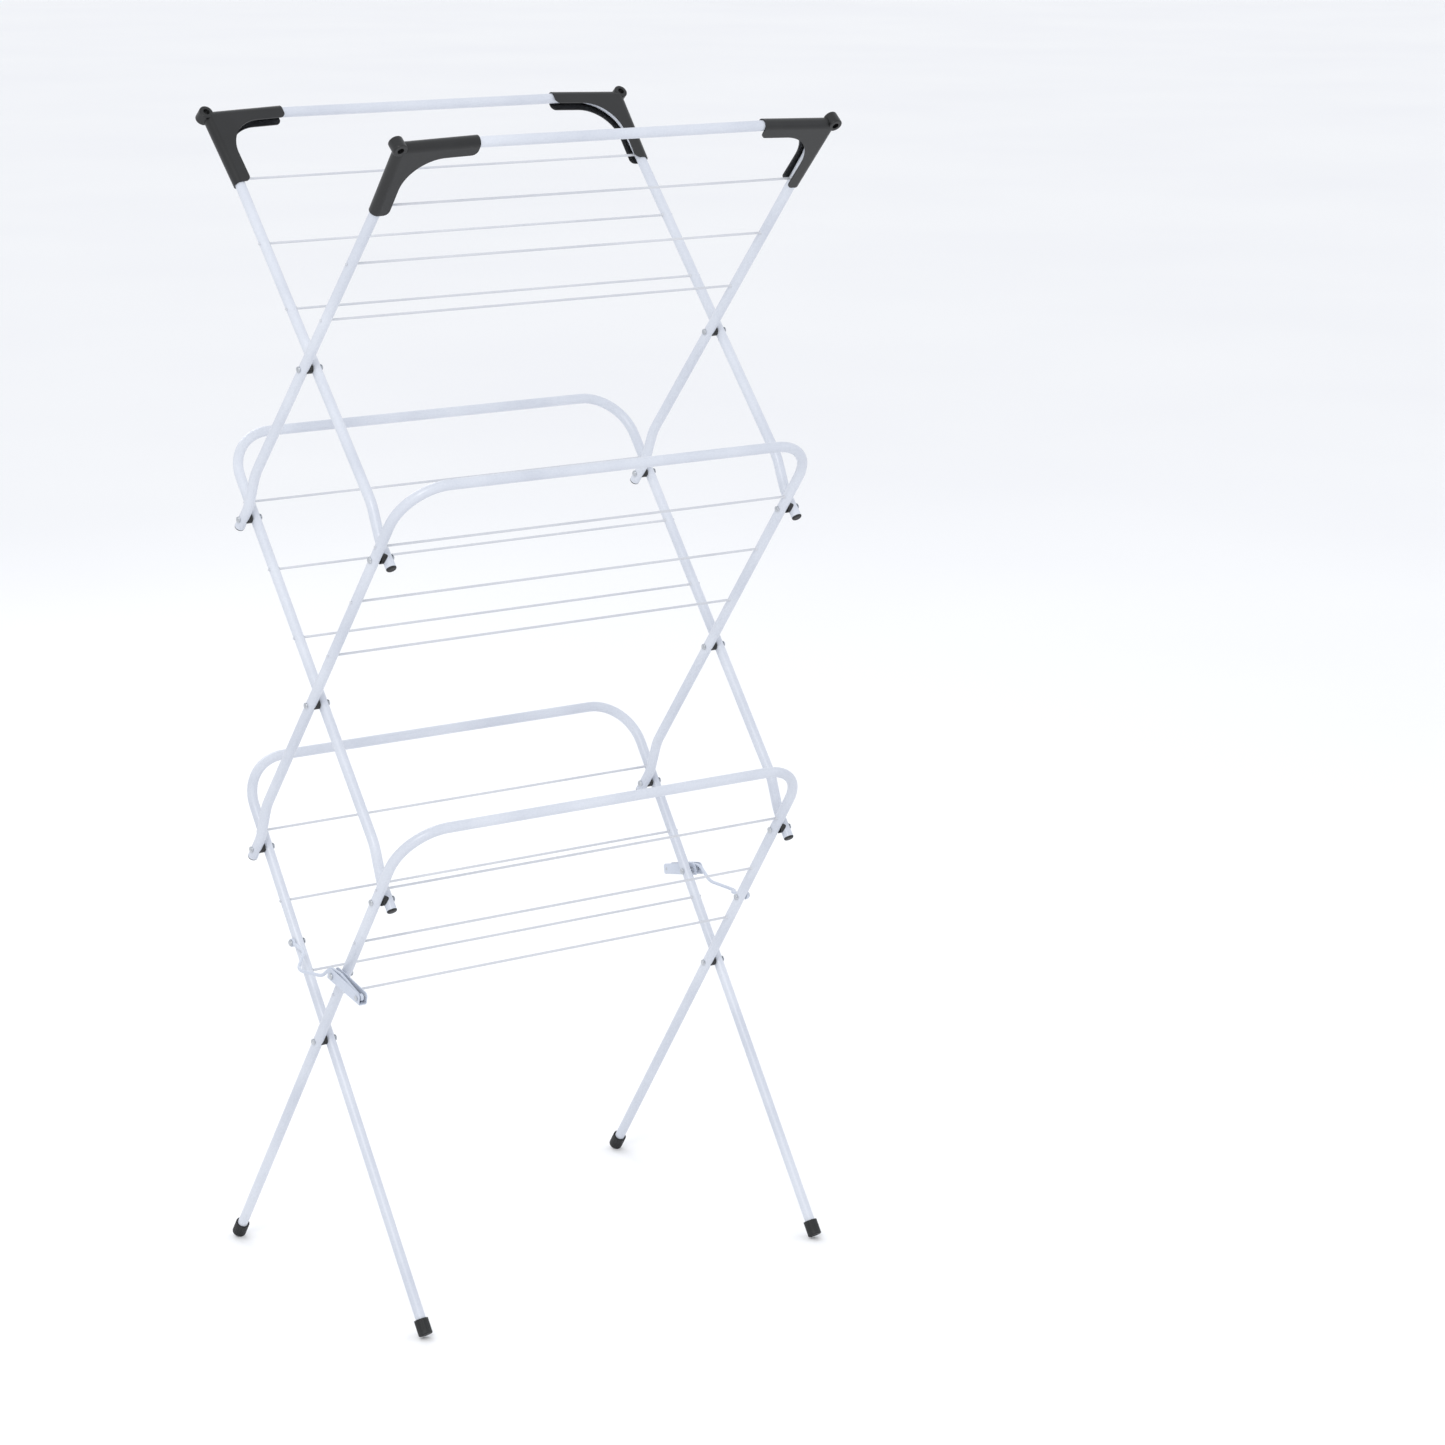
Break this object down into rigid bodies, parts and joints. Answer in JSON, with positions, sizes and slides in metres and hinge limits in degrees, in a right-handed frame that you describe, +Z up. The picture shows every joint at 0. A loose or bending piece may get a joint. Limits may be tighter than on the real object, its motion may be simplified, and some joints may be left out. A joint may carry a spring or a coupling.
{
  "type": "clothes airer",
  "caption": "Folding tower clothes airer: scissor tiers of bent white tube frames with thin drying rods, black corner covers with eyes, black feet and side latches",
  "frame": {"origin": "on the floor, midway between the four feet", "axes": "X along the drying rods, Y from the front to the back, Z up"},
  "size_m": [0.6414, 0.5026, 1.4295],
  "materials": {
    "frame_paint": "satin powder coat",
    "rod_coating": "satin powder coat",
    "latch_paint": "satin powder coat",
    "rivet_steel": "zinc plated, satin",
    "cover_plastic": "fine moulded texture",
    "foot_plastic": "matte",
    "plug_plastic": "matte",
    "spacer_plastic": "matte"
  },
  "bodies": {
    "bottom_front_frame": {"bottom_front_frame_tube": "frame_paint", "bottom_front_rod_1": "rod_coating", "bottom_front_rod_2": "rod_coating", "bottom_front_rod_3": "rod_coating", "front_frame_left_foot": "foot_plastic", "front_frame_right_foot": "foot_plastic", "bottom_scissor_rivets": "rivet_steel", "bottom_scissor_spacers": "spacer_plastic", "right_link_rivet": "rivet_steel"},
    "bottom_back_frame": {"bottom_back_frame_tube": "frame_paint", "bottom_back_rod_1": "rod_coating", "bottom_back_rod_2": "rod_coating", "bottom_back_rod_3": "rod_coating", "back_frame_left_foot": "foot_plastic", "back_frame_right_foot": "foot_plastic", "left_link_rivet": "rivet_steel"},
    "middle_front_frame": {"middle_front_frame_tube": "frame_paint", "middle_front_rod_1": "rod_coating", "middle_front_rod_2": "rod_coating", "middle_front_rod_3": "rod_coating", "middle_front_end_plugs": "plug_plastic", "middle_scissor_rivets": "rivet_steel", "middle_scissor_spacers": "spacer_plastic", "lower_rear_junction_rivets": "rivet_steel", "lower_rear_junction_spacers": "spacer_plastic"},
    "middle_back_frame": {"middle_back_frame_tube": "frame_paint", "middle_back_rod_1": "rod_coating", "middle_back_rod_2": "rod_coating", "middle_back_rod_3": "rod_coating", "middle_back_end_plugs": "plug_plastic", "lower_front_junction_rivets": "rivet_steel", "lower_front_junction_spacers": "spacer_plastic"},
    "top_front_frame": {"top_front_frame_tube": "frame_paint", "top_front_rod_1": "rod_coating", "top_front_rod_2": "rod_coating", "top_front_rod_3": "rod_coating", "top_front_end_plugs": "plug_plastic", "front_left_corner_cover": "cover_plastic", "front_right_corner_cover": "cover_plastic", "top_scissor_rivets": "rivet_steel", "top_scissor_spacers": "spacer_plastic", "upper_rear_junction_rivets": "rivet_steel", "upper_rear_junction_spacers": "spacer_plastic"},
    "top_back_frame": {"top_back_frame_tube": "frame_paint", "top_back_rod_1": "rod_coating", "top_back_rod_2": "rod_coating", "top_back_rod_3": "rod_coating", "top_back_end_plugs": "plug_plastic", "back_left_corner_cover": "cover_plastic", "back_right_corner_cover": "cover_plastic", "upper_front_junction_rivets": "rivet_steel", "upper_front_junction_spacers": "spacer_plastic"},
    "left_latch_link_body": {"left_latch_link": "latch_paint"},
    "right_latch_link_body": {"right_latch_link": "latch_paint"},
    "left_lever_body": {"left_latch_lever": "latch_paint", "left_lever_rivet": "rivet_steel", "left_hook_pin": "rivet_steel"},
    "right_lever_body": {"right_latch_lever": "latch_paint", "right_lever_rivet": "rivet_steel", "right_hook_pin": "rivet_steel"}
  },
  "joints": [
    {"name": "fold", "type": "hinge", "parent": "bottom_front_frame", "child": "bottom_back_frame", "pos_m": [0, 0, 0.31858], "axis": [1, 0, 0], "range_deg": [-92, 0]},
    {"name": "lower_front_junction", "type": "hinge", "parent": "bottom_front_frame", "child": "middle_back_frame", "pos_m": [0, -0.1448, 0.52848], "axis": [1, 0, 0], "range_deg": [-92, 0]},
    {"name": "lower_rear_junction", "type": "hinge", "parent": "bottom_back_frame", "child": "middle_front_frame", "pos_m": [0, 0.1448, 0.52848], "axis": [1, 0, 0], "range_deg": [0, 92]},
    {"name": "upper_front_junction", "type": "hinge", "parent": "middle_front_frame", "child": "top_back_frame", "pos_m": [0, -0.15611, 0.94002], "axis": [1, 0, 0], "range_deg": [-92, 0]},
    {"name": "upper_rear_junction", "type": "hinge", "parent": "middle_back_frame", "child": "top_front_frame", "pos_m": [0, 0.15611, 0.94002], "axis": [1, 0, 0], "range_deg": [0, 92]},
    {"name": "left_lever_pivot", "type": "hinge", "parent": "bottom_front_frame", "child": "left_lever_body", "pos_m": [-0.313, -0.07155, 0.4223], "axis": [1, 0, 0], "range_deg": [-203.83, 0]},
    {"name": "left_hook_pivot", "type": "hinge", "parent": "left_lever_body", "child": "left_latch_link_body", "pos_m": [-0.313, -0.13031, 0.41018], "axis": [1, 0, 0], "range_deg": [0, 144.6]},
    {"name": "right_lever_pivot", "type": "hinge", "parent": "bottom_back_frame", "child": "right_lever_body", "pos_m": [0.313, 0.07155, 0.4223], "axis": [-1, 0, 0], "range_deg": [-203.83, 0]},
    {"name": "right_hook_pivot", "type": "hinge", "parent": "right_lever_body", "child": "right_latch_link_body", "pos_m": [0.313, 0.13031, 0.41018], "axis": [-1, 0, 0], "range_deg": [0, 144.6]}
  ],
  "couplings": [
    {"joint": "lower_front_junction", "follows": "fold", "ratio": 1},
    {"joint": "lower_rear_junction", "follows": "fold", "ratio": -1},
    {"joint": "upper_front_junction", "follows": "fold", "ratio": 1},
    {"joint": "upper_rear_junction", "follows": "fold", "ratio": -1},
    {"joint": "left_lever_pivot", "follows": "fold", "ratio": 2.2154},
    {"joint": "left_hook_pivot", "follows": "fold", "ratio": -1.5715},
    {"joint": "right_lever_pivot", "follows": "fold", "ratio": 2.2154},
    {"joint": "right_hook_pivot", "follows": "fold", "ratio": -1.5715}
  ]
}
